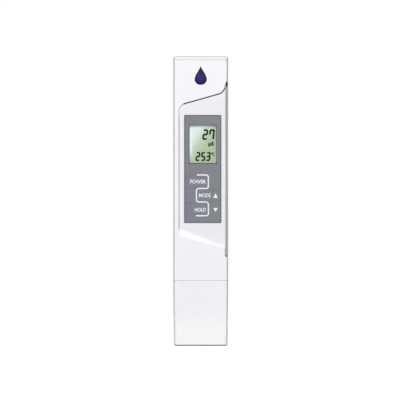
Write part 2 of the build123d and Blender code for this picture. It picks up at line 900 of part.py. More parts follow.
# Contact leaves: a foot soldered to the board, a jog, and a blade along the cell
contact_leaves = {
    "negative_contact": (-leaf_x, board_front_y, web_front_y, -1),
    "positive_contact": (leaf_x, board_back_y, web_back_y, 1),
}
for leaf_name, (leaf_place, foot_y, blade_y, away) in contact_leaves.items():
    foot_line_y = foot_y + away * leaf_thickness / 2
    blade_line_y = blade_y + away * (leaf_gap + leaf_thickness / 2)
    jog_bottom = board_top - leaf_foot
    jog_top = tray_bottom - leaf_gap
    with BuildPart() as leaf:
        with BuildSketch(Plane.YZ.offset(leaf_place)):
            with BuildLine():
                FilletPolyline(
                    (foot_line_y, jog_bottom - leaf_foot),
                    (foot_line_y, jog_bottom),
                    (blade_line_y, jog_top),
                    (blade_line_y, tray_bottom + leaf_overlap),
                    radius=leaf_bend,
                )
            trace(line_width=leaf_thickness)
        extrude(amount=leaf_width / 2, both=True)
    leaf.part.label = leaf_name
    export_step(leaf.part, "parts/" + leaf_name + ".step")

# Probe head: flange held in the housing, neck in the cap, fork around the electrodes
with BuildPart() as probe_head:
    flange = rounded_section(
        cavity_bottom,
        cavity_width - 2 * flange_gap,
        cavity_depth - 2 * flange_gap,
        cavity_corner,
        cavity_middle_y,
    )
    extrude(flange, amount=flange_thickness)
    extrude(rounded_section(neck_bottom, root_width, root_depth, root_corner),
            amount=cavity_bottom - neck_bottom)
    extrude(rounded_section(neck_bottom, neck_width, neck_depth, neck_corner), amount=neck_height)
    chamfer(probe_head.edges().group_by(Axis.Z)[0], fork_tip_chamfer)
    extrude(rounded_section(fork_tip_height, fork_width, fork_depth, fork_corner),
            amount=neck_bottom - fork_tip_height)
    chamfer(probe_head.edges().group_by(Axis.Z)[0], fork_tip_chamfer)
    with BuildSketch(facing(0)):
        with Locations((0, slot_top)):
            RectangleRounded(slot_width, 2 * (slot_top - fork_tip_height), fork_corner)
    extrude(amount=fork_depth, both=True, mode=Mode.SUBTRACT)
    extrude(rounded_section(slot_top, fork_width, fork_depth, fork_corner),
            amount=neck_bottom - slot_top)
    groove_bottom = seal_centre_z - seal_height / 2
    groove_inset = 2 * (seal_thickness - neck_gap + seal_gap)
    extrude(rounded_section(groove_bottom, cap_inner_width, cap_inner_depth, cap_inner_corner),
            amount=seal_height, mode=Mode.SUBTRACT)
    extrude(
        rounded_section(
            groove_bottom, neck_width - groove_inset, neck_depth - groove_inset, neck_corner - seal_gap
        ),
        amount=seal_height,
    )
    with BuildSketch(Plane.XY.offset(slot_top)):
        with GridLocations(electrode_spacing, 0, 2, 1):
            Circle(electrode_radius + pin_fit)
        Circle(sensor_radius + pin_fit)
    extrude(amount=flange_top - slot_top, mode=Mode.SUBTRACT)
probe_head.part.label = "probe_head"
export_step(probe_head.part, "parts/probe_head.step")

neck_seal = seal_ring(
    seal_centre_z - seal_height / 2,
    cap_inner_width - 2 * seal_gap,
    cap_inner_depth - 2 * seal_gap,
    cap_inner_corner - seal_gap,
)
neck_seal.label = "neck_seal"
export_step(neck_seal, "parts/neck_seal.step")

# Electrodes and temperature sensor, with wires up to the board's lower edge
lead_top = board_bottom + lead_overlap
for side_name, side in (("left", -1), ("right", 1)):
    electrode = round_pin(
        side * electrode_spacing / 2,
        slot_top - electrode_length,
        flange_top,
        lead_top,
        electrode_radius,
        lead_radius,
        electrode_tip_chamfer,
    )
    electrode.label = "electrode_" + side_name
    export_step(electrode, "parts/electrode_" + side_name + ".step")

temperature_sensor = round_pin(
    0,
    slot_top - sensor_length,
    slot_top + sensor_shank,
    lead_top,
    sensor_radius,
    lead_radius,
    sensor_tip_chamfer,
)
temperature_sensor.label = "temperature_sensor"
export_step(temperature_sensor, "parts/temperature_sensor.step")

# Cap
with BuildPart() as cap:
    with BuildSketch(Plane.XY.offset(cap_length)):
        with BuildLine():
            Polyline(*body_corners, close=True)
        make_face()
    extrude(amount=-cap_length, taper=cap_taper)
    for side_of_depth, radius in ((0, front_edge_radius), (-1, back_edge_radius)):
        uprights = cap.edges().filter_by(
            lambda edge: edge.bounding_box().size.Z > cap_length / 2
        )
        fillet(uprights.group_by(Axis.Y)[side_of_depth], radius)
    chamfer(cap.edges().group_by(Axis.Z)[0], end_edge_bevel)
    chamfer(cap.edges().group_by(Axis.Z)[-1], cap_rim_chamfer)
    extrude(
        rounded_section(cap_wall, cap_inner_width, cap_inner_depth, cap_inner_corner),
        amount=cap_length - cap_wall,
        mode=Mode.SUBTRACT,
    )
cap.part.label = "cap"
export_step(cap.part, "parts/cap.step")
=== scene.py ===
"""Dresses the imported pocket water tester: finishes, printed marks, display segments and stage."""
import math

import bpy
from mathutils import Matrix, Vector


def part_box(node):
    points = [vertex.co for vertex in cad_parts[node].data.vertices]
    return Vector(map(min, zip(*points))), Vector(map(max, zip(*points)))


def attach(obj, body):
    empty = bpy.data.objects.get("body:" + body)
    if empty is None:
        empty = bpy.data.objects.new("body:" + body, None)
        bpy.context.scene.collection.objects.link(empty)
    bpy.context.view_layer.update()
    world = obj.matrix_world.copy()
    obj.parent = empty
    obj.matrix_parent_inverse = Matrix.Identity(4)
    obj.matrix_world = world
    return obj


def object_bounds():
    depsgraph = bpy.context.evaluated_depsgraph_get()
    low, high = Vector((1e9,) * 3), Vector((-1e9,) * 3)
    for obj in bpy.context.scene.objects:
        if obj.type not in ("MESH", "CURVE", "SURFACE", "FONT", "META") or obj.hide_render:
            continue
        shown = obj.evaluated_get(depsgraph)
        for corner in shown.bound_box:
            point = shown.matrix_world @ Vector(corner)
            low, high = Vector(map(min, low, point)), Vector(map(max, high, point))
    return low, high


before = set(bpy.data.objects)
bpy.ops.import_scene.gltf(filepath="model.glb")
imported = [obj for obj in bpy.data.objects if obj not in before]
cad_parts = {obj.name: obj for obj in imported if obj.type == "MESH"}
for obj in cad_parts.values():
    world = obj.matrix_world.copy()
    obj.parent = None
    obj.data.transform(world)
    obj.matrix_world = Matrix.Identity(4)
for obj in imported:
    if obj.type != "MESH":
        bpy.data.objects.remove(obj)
cad_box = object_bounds()

bl_info = {
    "name": "Pocket water tester",
    "version": (1, 0, 0),
    "blender": (4, 5, 0),
    "location": "3D View > Sidebar > Water tester",
    "description": "Finishes, printed marks, display and stage for the packed tester",
    "category": "Object",
}

MM = 0.001

# Places on the front, in metres: x to the right, z up
OVERLAY_LOW, OVERLAY_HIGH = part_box("keypad_overlay")
WINDOW_LOW, WINDOW_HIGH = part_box("display_window")
GLASS_FRONT_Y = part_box("lcd_front_glass")[0][1]
CELL_LOW, CELL_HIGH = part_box("coin_cell")
CAPACITORS_LOW, CAPACITORS_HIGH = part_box("board_capacitors")
WINDOW_FLANGE = 0.75 * MM
FRONT_Y = cad_box[0][1]
TOP_Z = cad_box[1][2]

# Forms of the shell, where its finish paints shade, shadow and a highlight, and the place of the
# water drop: depths run back from the front face
RECESS_DEPTH = 1.0 * MM
RECESS_SKIN = 0.5 * MM
RECESS_LEFT_X = -11.0 * MM
RECESS_LOW_Z = 50.0 * MM
RAMP_LEFT_Z = 60.0 * MM
RAMP_RIGHT_X = 12.4 * MM
GROOVE_LOW_Z = 119.4 * MM
GROOVE_MIDDLE_X = 1.8 * MM
GROOVE_HALF_SPAN = 10.8 * MM
WALL_LOW_Z = 57.0 * MM
WALL_HIGH_Z = 119.0 * MM
BAND_X = 12.7 * MM
BAND_LOW_Z = 46.0 * MM
BAND_HIGH_Z = 134.0 * MM
FLANK_X = 13.7 * MM
NOTCH_X, NOTCH_Z = 13.55 * MM, 135.6 * MM
NOTCH_HALF_WIDTH, NOTCH_HALF_HEIGHT = 0.62 * MM, 1.45 * MM
BAND_FOOT_X, BAND_FOOT_Z = 13.3 * MM, 46.4 * MM
BAND_FOOT_HALF_WIDTH, BAND_FOOT_HALF_HEIGHT = 0.5 * MM, 0.6 * MM
DROP_BOTTOM_Z = 135.2 * MM
DROP_BELLY_Z = 138.3 * MM
DROP_BELLY_HALF_WIDTH, DROP_BELLY_HALF_HEIGHT = 2.9 * MM, 3.4 * MM
FOOT_SHADE_HEIGHT = 0.45 * MM
CREST_SHADE_DEPTH = 0.5 * MM

# The readings and how bold the lettering is
UPPER_READING_Z, LOWER_READING_Z = 109.5 * MM, 98.1 * MM
UPPER_DIGIT_WIDTH, LOWER_DIGIT_WIDTH = 2.9 * MM, 2.35 * MM
POINT_X, POINT_Z = 2.62 * MM, 95.95 * MM
POINT_SIZE, POINT_SIDES = 0.36 * MM, 8
NAME_BOLD, UNIT_BOLD = 0.04 * MM, 0.15 * MM

# Stage, in metres and watts
KEY_LAMP_PLACE = (-0.22, -2.35, 1.3)
BACK_LAMP_PLACE = (-0.1, 2.2, 1.7)
LAMP_SIZE = 1.4
CAMERA_X, CAMERA_Z = -0.36 * MM, 75.55 * MM
FLOOR_SIZE = 12.0
FLOOR_NEAR, FLOOR_FAR = 0.25, 0.5
FLOOR_GLOW = 0.78
FLOOR_THROW = 0.62


def linear(code):
    """Linear colour, with alpha, of a six-digit screen colour."""
    channels = [int(code[place:place + 2], 16) / 255 for place in (0, 2, 4)]
    bright = [
        value / 12.92 if value <= 0.04045 else ((value + 0.055) / 1.055) ** 2.4
        for value in channels
    ]
    return (*bright, 1.0)


# Settings that a user would change


def colour_setting(name, description, code):
    """Colour property with a screen colour as its default."""
    return bpy.props.FloatVectorProperty(
        name=name,
        description=description,
        size=4,
        min=0.0,
        max=1.0,
        subtype="COLOR",
        default=linear(code),
    )


def length_setting(name, description, millimetres):
    """Length property whose default is given in millimetres."""
    return bpy.props.FloatProperty(
        name=name,
        description=description,
        default=millimetres * MM,
        min=0.0,
        precision=5,
        subtype="DISTANCE",
        unit="LENGTH",
    )


class FinishSettings(bpy.types.PropertyGroup):
    """Colours of the tester's finishes."""

    shell: colour_setting("Shell", "Moulded housing, cap and battery tray", "f2f2f6")
    # Painted shade: near black for the line along the foot of the cap
    seam: colour_setting("Foot line", "Shaded edge at the foot of the cap", "121213")
    # Painted shadow: near black for the inside of the groove and the notch
    painted_groove_shadow: colour_setting("Seam", "Inside of the shadow groove and the notch", "1a1a1d")
    overlay: colour_setting("Overlay", "Film over the keys", "777783")
    overlay_edge: colour_setting("Overlay edge", "Darker border of the film", "626266")
    window_edge: colour_setting("Window edge", "Dark line round the display window", "4c4f50")
    print_white: colour_setting("Print", "Guide line, key names and arrows", "f6f6f8")
    # Painted reflection: the pale upper left of the display stands in for glare
    display_painted_glare: colour_setting("Display, pale corner", "Upper left of the display", "e0ebe9")
    display_green: colour_setting("Display, green corner", "Lower right of the display", "a9bd98")
    segment: colour_setting("Segments", "Dark segments of the reading", "040a05")
    drop: colour_setting("Drop", "Middle of the water drop", "1e1568")
    drop_rim: colour_setting("Drop rim", "Edge of the water drop", "07041c")
    board: colour_setting("Board", "Solder mask of the circuit board", "14552f")
    rubber: colour_setting("Rubber", "Seals and contact strip", "2b2b2e")
    steel: colour_setting("Steel", "Screws, contacts and switch covers", "c3c6ca")
    probe: colour_setting("Probe", "Moulded probe head", "e4e4e6")


class MarkSettings(bpy.types.PropertyGroup):
    """Sizes of the printed marks and of the reading."""

    line_width: length_setting("Line width", "Width of the white guide line", 0.72)
    line_radius: length_setting("Line corner", "Radius of the guide line's corners", 1.2)
    name_height: length_setting("Name height", "Height of the key names", 2.0)
    print_height: length_setting("Print height", "How far print stands above the film", 0.02)
    upper_digit: length_setting("Upper digit height", "Height of the upper reading", 5.65)
    upper_stroke: length_setting("Upper stroke", "Width of the upper segments", 1.02)
    lower_digit: length_setting("Lower digit height", "Height of the lower reading", 4.8)
    lower_stroke: length_setting("Lower stroke", "Width of the lower segments", 0.88)
    drop_height: length_setting("Drop height", "Length of the water drop, tip to bottom", 9.9)
    drop_width: length_setting("Drop width", "Width of the water drop", 6.3)
    drop_dome: length_setting("Drop dome", "How far the drop stands above the shell", 0.45)


class StageSettings(bpy.types.PropertyGroup):
    """Camera and light."""

    lens: bpy.props.FloatProperty(
        name="Lens",
        description="Focal length of the camera",
        default=300.0,
        min=20.0,
        subtype="DISTANCE_CAMERA",
        unit="CAMERA",
    )
    camera_distance: length_setting("Camera distance", "From the lens to the front face", 1726.7)
    key_power: bpy.props.FloatProperty(
        name="Key power",
        description="Power of the large lamp in front of and above the tester",
        default=54.5,
        min=0.0,
        subtype="POWER",
        unit="POWER",
    )
    back_power: bpy.props.FloatProperty(
        name="Back power",
        description="Power of the lamp behind the tester",
        default=40.0,
        min=0.0,
        subtype="POWER",
        unit="POWER",
    )
    ambient: bpy.props.FloatProperty(
        name="Ambient",
        description="Strength of the even light from all round",
        default=0.25,
        min=0.0,
        max=1.0,
        subtype="FACTOR",
    )


# Materials

# How fine each noise is: its scale for a place in metres
FLOW_MARKS = 90.0
PRINT_DRIFT = 120.0
CELL_HAZE = 240.0
WIPE_MARKS = 260.0
METAL_HAZE = 300.0
BLOOM = 500.0
CLOUD = 600.0
DAPPLE = 700.0
FLOOR_SPECK = 900.0
PORES = 1400.0
MASK_GRAIN = 2400.0
DRAWN_STREAKS = 2600.0
FILM_GRAIN = 3600.0
INK_MOTTLE = 4200.0
CERAMIC_SPECK = 5000.0
SPARK_GRIT = 5200.0
DIFFUSER = 6000.0

# How high the surface marks stand
GRIT_HEIGHT = 0.03 * MM
FILM_HEIGHT = 0.02 * MM
FINE_HEIGHT = 0.01 * MM


class Wire:
    """One output of a shader node; arithmetic on it adds Math nodes."""

    def __init__(self, tree, socket=None):
        self.tree = tree
        self.socket = socket

    def node(self, kind, settings=None, sockets=None, out=0):
        """Add a node, its settings before its sockets, and give one of its outputs."""
        made = self.tree.nodes.new(kind)
        for name, value in (settings or {}).items():
            if name == "stops":
                elements = made.color_ramp.elements
                while len(elements) < len(value):
                    elements.new(1.0)
                for element, (position, colour) in zip(elements, value):
                    element.position = position
                    element.color = colour
            else:
                setattr(made, name, value)
        for name, value in (sockets or {}).items():
            if isinstance(value, Wire):
                self.tree.links.new(value.socket, made.inputs[name])
            else:
                made.inputs[name].default_value = value
        return Wire(self.tree, made.outputs[out])

    def maths(self, operation, *values):
        """Math node on these values."""
        return self.node("ShaderNodeMath", {"operation": operation}, dict(enumerate(values)))

    def __add__(self, other):
        return self.maths("ADD", self, other)

    def __radd__(self, other):
        return self.maths("ADD", other, self)

    def __sub__(self, other):
        return self.maths("SUBTRACT", self, other)

    def __rsub__(self, other):
        return self.maths("SUBTRACT", other, self)

    def __mul__(self, other):
        return self.maths("MULTIPLY", self, other)

    def __rmul__(self, other):
        return self.maths("MULTIPLY", other, self)

    def __truediv__(self, other):
        return self.maths("DIVIDE", self, other)

    def __abs__(self):
        return self.maths("ABSOLUTE", self)

    def root(self):
        """Square root of this value."""
        return self.maths("SQRT", self)

    def larger(self, other):
        """The larger of two values."""
        return self.maths("MAXIMUM", self, other)

    def smaller(self, other):
        """The smaller of two values."""
        return self.maths("MINIMUM", self, other)

    def step(self, start, end):
        """0 before start and 1 past end, with a soft rise between."""
        return self.node(
            "ShaderNodeMapRange",
            {"interpolation_type": "SMOOTHSTEP"},
            {"Value": self, "From Min": start, "From Max": end, "To Min": 0.0, "To Max": 1.0},
        )

    def mix(self, low, high):
        """Colour that goes from low to high as this value goes from 0 to 1."""
        return self.node(
            "ShaderNodeMix",
            {"data_type": "RGBA"},
            {0: self, 6: low, 7: high},
            out=2,
        )

    def noise(self, scale, detail=2.0, roughness=0.5):
        """Noise value at this place."""
        return self.node(
            "ShaderNodeTexNoise",
            None,
            {"Vector": self, "Scale": scale, "Detail": detail, "Roughness": roughness},
        )

    def axes(self):
        """The three numbers of this place."""
        split = self.tree.nodes.new("ShaderNodeSeparateXYZ")
        self.tree.links.new(self.socket, split.inputs[0])
        return [Wire(self.tree, output) for output in split.outputs]

    def stretched(self, *factors):
        """This place with each axis scaled."""
        return self.node("ShaderNodeMapping", None, {"Vector": self, "Scale": factors})

    def bump(self, strength, distance):
        """Normal that this height raises."""
        return self.node(
            "ShaderNodeBump",
            None,
            {"Height": self, "Strength": strength, "Distance": distance},
        )


class Finish:
    """A material under way: its place on the piece, and its one surface shader."""

    def __init__(self, name):
        self.material = bpy.data.materials.new(name)
        self.material.use_nodes = True
        self.tree = self.material.node_tree
        self.shader = self.tree.nodes["Principled BSDF"]
        self.place = Wire(self.tree).node("ShaderNodeTexCoord", out=3)

    def set(self, **sockets):
        """Set the surface shader's sockets, with _ for the spaces in their names."""
        for name, value in sockets.items():
            socket = self.shader.inputs[name.replace("_", " ")]
            if isinstance(value, Wire):
                self.tree.links.new(value.socket, socket)
            else:
                socket.default_value = value
        return self.material


def shade(colour, factor):
    """Colour made darker or lighter by a factor."""
    return (*(min(1.0, channel * factor) for channel in colour[:3]), 1.0)


def blend(first, second, share):
    """Colour part of the way from the first to the second."""
    return tuple(a + (b - a) * share for a, b in zip(first, second))


def distance_outside(place, low, high):
    """Distance outside a box on the front, negative inside it."""
    x, _, z = place.axes()
    across = abs(x - (low[0] + high[0]) / 2) - (high[0] - low[0]) / 2
    along = abs(z - (low[2] + high[2]) / 2) - (high[2] - low[2]) / 2
    return across.larger(along)


def moulded(name, colour, roughness=0.42, grain=1.0):
    """Moulded plastic: faint flow marks, a fine spark-eroded grain and a satin gloss."""
    finish = Finish(name)
    flow = finish.place.stretched(1.0, 1.0, 0.25).noise(FLOW_MARKS, 3.0)
    grit = finish.place.noise(SPARK_GRIT, 2.0)
    pores = finish.place.noise(PORES, 2.0)
    tint = (flow * 0.7 + pores * 0.3).step(0.3, 0.7)
    return finish, finish.set(
        Base_Color=tint.mix(shade(colour, 0.975), colour),
        Roughness=roughness + (pores - 0.5) * 0.12 + (flow - 0.5) * 0.08,
        Normal=(grit * 0.7 + pores * 0.3).bump(0.10 * grain, GRIT_HEIGHT),
        Specular_IOR_Level=0.3,
    )


def round_mark(x, z, middle_x, middle_z, half_width, half_height):
    """Distance from the middle of an oval on the front, 1 at its rim."""
    across, along = (x - middle_x) / half_width, (z - middle_z) / half_height
    return (across * across + along * along).root()


def shell_plastic(settings):
    """White housing plastic, with painted shade, painted shadow and a painted highlight where the
    real shell shows them as lines.
    """
    finish, _ = moulded("shell_plastic", settings.shell)
    x, y, z = finish.place.axes()
    depth = y - FRONT_Y
    outside_wall = 1.0 - depth.step(RECESS_DEPTH + RECESS_SKIN, RECESS_DEPTH + 0.7 * MM)
    # Painted shade: the recess floor is made darker than the front face
    recess_shade = depth.step(RECESS_DEPTH - 0.2 * MM, RECESS_DEPTH - 0.05 * MM) * outside_wall
    recess_shade = recess_shade * z.step(RECESS_LOW_Z, RECESS_LOW_Z + 8 * MM)
    # Painted shadow: the inside of the groove under the recess's top wall is made near black
    groove = depth.step(RECESS_DEPTH + 0.04 * MM, RECESS_DEPTH + 0.14 * MM)
    groove = groove * (1.0 - depth.step(RECESS_DEPTH + 0.9 * MM, RECESS_DEPTH + 1.0 * MM))
    groove = groove * z.step(GROOVE_LOW_Z, GROOVE_LOW_Z + 0.5 * MM)
    from_middle = abs(x - GROOVE_MIDDLE_X)
    groove = groove * (1.0 - from_middle.step(GROOVE_HALF_SPAN, GROOVE_HALF_SPAN + 0.4 * MM))
    # Painted shadow: near-black spots at the notch high on the right side and at the foot of the
    # side band
    notch = round_mark(x, z, NOTCH_X, NOTCH_Z, NOTCH_HALF_WIDTH, NOTCH_HALF_HEIGHT)
    band_foot = round_mark(
        x, z, BAND_FOOT_X, BAND_FOOT_Z, BAND_FOOT_HALF_WIDTH, BAND_FOOT_HALF_HEIGHT
    )
    spots = (1.0 - notch.step(0.8, 1.15)).larger((1.0 - band_foot.step(0.5, 1.1)) * 0.8)
    spots = spots * (1.0 - depth.step(4.5 * MM, 5.5 * MM))
    # Painted shade: a darker line down the recess's left wall
    wall = 1.0 - abs(x - RECESS_LEFT_X).step(0.15 * MM, 0.4 * MM)
    wall = wall * depth.step(0.3 * MM, 0.6 * MM) * outside_wall
    wall = wall * z.step(WALL_LOW_Z, WALL_LOW_Z + 5 * MM)
    wall = wall * (1.0 - z.step(WALL_HIGH_Z, WALL_HIGH_Z + 3 * MM))
    # Painted highlight: the sloped face at the foot of the recess is made whiter
    ramp_highlight = depth.step(0.1 * MM, 0.25 * MM)
    ramp_highlight = ramp_highlight * (1.0 - depth.step(RECESS_DEPTH - 0.25 * MM, RECESS_DEPTH - 0.1 * MM))
    ramp_highlight = ramp_highlight * (1.0 - z.step(RAMP_LEFT_Z, RAMP_LEFT_Z + 2 * MM))
    ramp_highlight = ramp_highlight * (1.0 - abs(x).step(RAMP_RIGHT_X, RAMP_RIGHT_X + 0.3 * MM))
    # Painted shade: a near-black line along the foot of the cap
    foot = 1.0 - z.step(FOOT_SHADE_HEIGHT, FOOT_SHADE_HEIGHT + 0.17 * MM)
    # Painted shade: a darker line along the top bevel, near the front
    crest_shade = z.step(TOP_Z - CREST_SHADE_DEPTH, TOP_Z - CREST_SHADE_DEPTH + 0.12 * MM)
    crest_shade = crest_shade * (1.0 - depth.step(0.5 * MM, 0.9 * MM))
    # Painted shade: the outer edges of the sides, and the right edge beside the recess, darker
    # towards the front
    band = x.step(BAND_X, BAND_X + 0.25 * MM) * z.step(BAND_LOW_Z, BAND_LOW_Z + 0.6 * MM)
    band = band * (1.0 - z.step(BAND_HIGH_Z, BAND_HIGH_Z + 2 * MM))
    flank_shade = abs(x).step(FLANK_X, FLANK_X + 0.25 * MM).larger(band)
    flank_shade = flank_shade * (1.0 - depth.step(5.0 * MM, 8.0 * MM))
    colour = Wire(finish.tree, finish.shader.inputs["Base Color"].links[0].from_socket)
    # Painted shade, painted shadow and a painted highlight, laid over the plastic's colour in turn
    shade_and_highlight = (
        (recess_shade * 0.65, shade(settings.shell, 0.88)),
        (ramp_highlight * 0.6, linear("ffffff")),
        (wall * 0.8, shade(settings.shell, 0.66)),
        (flank_shade * 0.7, shade(settings.shell, 0.6)),
        (crest_shade * 0.9, shade(settings.shell, 0.62)),
        (foot, settings.seam),
        ((groove * 0.92).larger(spots), settings.painted_groove_shadow),
    )
    for share, tint in shade_and_highlight:
        colour = share.mix(colour, tint)
    return finish.set(Base_Color=colour)


def film_material(settings, name):
    """Printed film over the keys: grey, darker at its border and round the window."""
    finish = Finish(name)
    x, _, z = finish.place.axes()
    border = distance_outside(finish.place, OVERLAY_LOW, OVERLAY_HIGH)
    border = border.step(-0.95 * MM, -0.35 * MM)
    flange = Vector((1, 1, 1)) * WINDOW_FLANGE
    pane_low, pane_high = WINDOW_LOW + flange, WINDOW_HIGH - flange
    around = distance_outside(finish.place, pane_low, pane_high)
    line = 1.0 - around.step(0.25 * MM, 0.55 * MM)
    under = 1.0 - abs(z - WINDOW_LOW[2] - 0.5 * MM).step(0.25 * MM, 0.5 * MM)
    under = under * (1.0 - around.step(0.7 * MM, 1.0 * MM))
    side = (x - OVERLAY_LOW[0]).step(0.0, OVERLAY_HIGH[0] - OVERLAY_LOW[0])
    drift = finish.place.noise(PRINT_DRIFT, 2.0)
    grain = finish.place.noise(FILM_GRAIN, 2.0)
    green = blend(settings.overlay, linear("74807a"), 0.5)
    colour = side.mix(settings.overlay, green)
    colour = (drift.step(0.35, 0.65) * 0.35).mix(colour, blend(settings.overlay, green, 0.8))
    colour = (border * 0.9).mix(colour, settings.overlay_edge)
    colour = (line * 0.5).larger(under * 0.85).mix(colour, settings.window_edge)
    return finish.set(
        Base_Color=colour,
        Roughness=0.46 + (grain - 0.5) * 0.14,
        Normal=grain.bump(0.12, FILM_HEIGHT),
        Specular_IOR_Level=0.35,
    )


def display_material(settings):
    """Display cell, green at the lower right, with a painted reflection that makes its upper left
    pale.
    """
    finish = Finish("display_cell")
    x, _, z = finish.place.axes()
    across = (x - WINDOW_LOW[0]) / (WINDOW_HIGH[0] - WINDOW_LOW[0])
    down = (WINDOW_HIGH[2] - z) / (WINDOW_HIGH[2] - WINDOW_LOW[2])
    # Painted reflection: the colour runs from pale at the upper left to green at the lower right
    slope = (across * 0.62 + down * 0.62).step(0.22, 0.78)
    dapple = finish.place.noise(DAPPLE, 3.0)
    diffuser = finish.place.noise(DIFFUSER, 1.0)
    middle = blend(settings.display_painted_glare, settings.display_green, 0.6)
    colour = finish.place.node(
        "ShaderNodeValToRGB",
        {"stops": [(0.0, settings.display_painted_glare), (0.5, middle), (1.0, settings.display_green)]},
        {0: slope + (dapple - 0.5) * 0.16},
    )
    # Painted glare: a near-white strip down the left edge of the display, in its upper part
    edge = 1.0 - (x - WINDOW_LOW[0]).step(1.7 * MM, 2.4 * MM)
    edge = edge * (1.0 - down.step(0.55, 0.95))
    return finish.set(
        Base_Color=(edge * 0.85).mix(colour, linear("f4faf9")),
        Roughness=0.5 + (diffuser - 0.5) * 0.2,
        Normal=diffuser.bump(0.08, FINE_HEIGHT),
        Specular_IOR_Level=0.3,
        Coat_Weight=0.25,
        Coat_Roughness=0.2,
    )


def clear_material(name, tint, cover, roughness):
    """Clear sheet: mostly see-through, with a faint tint, wipe marks and a clean gloss."""
    finish = Finish(name)
    wipes = finish.place.stretched(1.0, 1.0, 0.3).noise(WIPE_MARKS, 3.0)
    finish.material.surface_render_method = "BLENDED"
    return finish.set(
        Base_Color=wipes.mix(tint, shade(tint, 1.05)),
        Roughness=roughness + (wipes - 0.5) * 0.05,
        Alpha=cover + (wipes - 0.5) * 0.02,
        Specular_IOR_Level=0.12,
    )


def ink_material(name, colour, roughness):
    """Printed ink: nearly even, with the fine mottle of a screen print."""
    finish = Finish(name)
    mottle = finish.place.noise(INK_MOTTLE, 2.0)
    return finish.set(
        Base_Color=mottle.step(0.35, 0.65).mix(shade(colour, 0.93), colour),
        Roughness=roughness + (mottle - 0.5) * 0.15,
        Normal=mottle.bump(0.1, FINE_HEIGHT),
        Specular_IOR_Level=0.15,
    )


def metal_material(name, colour, roughness, streak=(1.0, 1.0, 1.0)):
    """Plated metal with fine drawn streaks and a little handling haze."""
    finish = Finish(name)
    streaks = finish.place.stretched(*streak).noise(DRAWN_STREAKS, 3.0)
    haze = finish.place.noise(METAL_HAZE, 2.0)
    return finish.set(
        Base_Color=haze.step(0.3, 0.7).mix(shade(colour, 0.88), colour),
        Metallic=1.0,
        Roughness=roughness + (streaks - 0.5) * 0.22 + (haze - 0.5) * 0.1,
        Normal=streaks.bump(0.12, FINE_HEIGHT),
    )


def cell_material(settings):
    """Coin cell steel, turned in rings about its middle."""
    finish = Finish("cell_steel")
    middle = (CELL_LOW + CELL_HIGH) / 2
    x, y, z = finish.place.axes()
    across, up = x - middle[0], z - middle[2]
    radius = (across * across + up * up).root()
    rings = radius.node(
        "ShaderNodeTexNoise",
        {"noise_dimensions": "1D"},
        {"W": radius, "Scale": 3800.0, "Detail": 3.0},
    )
    haze = finish.place.noise(CELL_HAZE, 3.0)
    gap = (radius.step(8.75 * MM, 8.85 * MM) * (1.0 - radius.step(9.45 * MM, 9.55 * MM)))
    gap = gap * (1.0 - (y - CELL_LOW[1]).step(0.6 * MM, 0.7 * MM))
    colour = haze.step(0.3, 0.7).mix(shade(settings.steel, 0.9), shade(settings.steel, 1.04))
    return finish.set(
        Base_Color=gap.mix(colour, linear("3c3c40")),
        Metallic=1.0 - gap,
        Roughness=0.26 + (rings - 0.5) * 0.3 + gap * 0.3,
        Normal=rings.bump(0.15, FINE_HEIGHT),
    )


def rubber_material(settings):
    """Soft black rubber with a dusty bloom."""
    finish = Finish("seal_rubber")
    bloom = finish.place.noise(BLOOM, 4.0)
    grain = finish.place.noise(DIFFUSER, 2.0)
    return finish.set(
        Base_Color=bloom.step(0.45, 0.75).mix(settings.rubber, shade(settings.rubber, 1.8)),
        Roughness=0.72 + (bloom - 0.5) * 0.2,
        Normal=grain.bump(0.2, FILM_HEIGHT),
    )


def board_material(settings):
    """Green solder mask over copper runs, with plated vias."""
    finish = Finish("board_mask")
    x, _, z = finish.place.axes()
    runs = finish.place.node(
        "ShaderNodeTexBrick",
        {"offset": 0.35, "squash": 0.6},
        {
            "Vector": finish.place.node(
                "ShaderNodeCombineXYZ", None, {0: x, 1: z, 2: 0.0}
            ),
            "Color1": (0.0, 0.0, 0.0, 1.0),
            "Color2": (0.0, 0.0, 0.0, 1.0),
            "Mortar": (1.0, 1.0, 1.0, 1.0),
            "Scale": 420.0,
            "Mortar Size": 0.07,
            "Brick Width": 1.4,
            "Row Height": 0.42,
        },
    )
    vias = finish.place.node("ShaderNodeTexVoronoi", None, {"Vector": finish.place, "Scale": 330.0})
    spots = 1.0 - vias.step(0.10, 0.14)
    grain = finish.place.noise(MASK_GRAIN, 2.0)
    mask = grain.step(0.3, 0.7).mix(shade(settings.board, 0.85), settings.board)
    colour = runs.mix(mask, shade(settings.board, 1.7))
    return finish.set(
        Base_Color=spots.mix(colour, linear("c9b37a")),
        Metallic=spots * 0.9,
        Roughness=0.38 - runs * 0.08 + (grain - 0.5) * 0.1,
        Normal=(runs * 0.6 + grain * 0.2).bump(0.3, GRIT_HEIGHT),
    )


def ceramic_material():
    """Fired ceramic of the small capacitors, with tinned ends left pale."""
    finish = Finish("fired_ceramic")
    x, _, _ = finish.place.axes()
    middle_x = (CAPACITORS_LOW[0] + CAPACITORS_HIGH[0]) / 2
    ends = abs(x - middle_x).step(0.48 * MM, 0.52 * MM)
    speck = finish.place.noise(CERAMIC_SPECK, 3.0)
    clay = speck.step(0.3, 0.7).mix(linear("8d6a45"), linear("a98460"))
    return finish.set(
        Base_Color=ends.mix(clay, linear("c9cbcd")),
        Metallic=ends * 0.9,
        Roughness=0.6 - ends * 0.25 + (speck - 0.5) * 0.1,
        Normal=speck.bump(0.1, FILM_HEIGHT),
    )


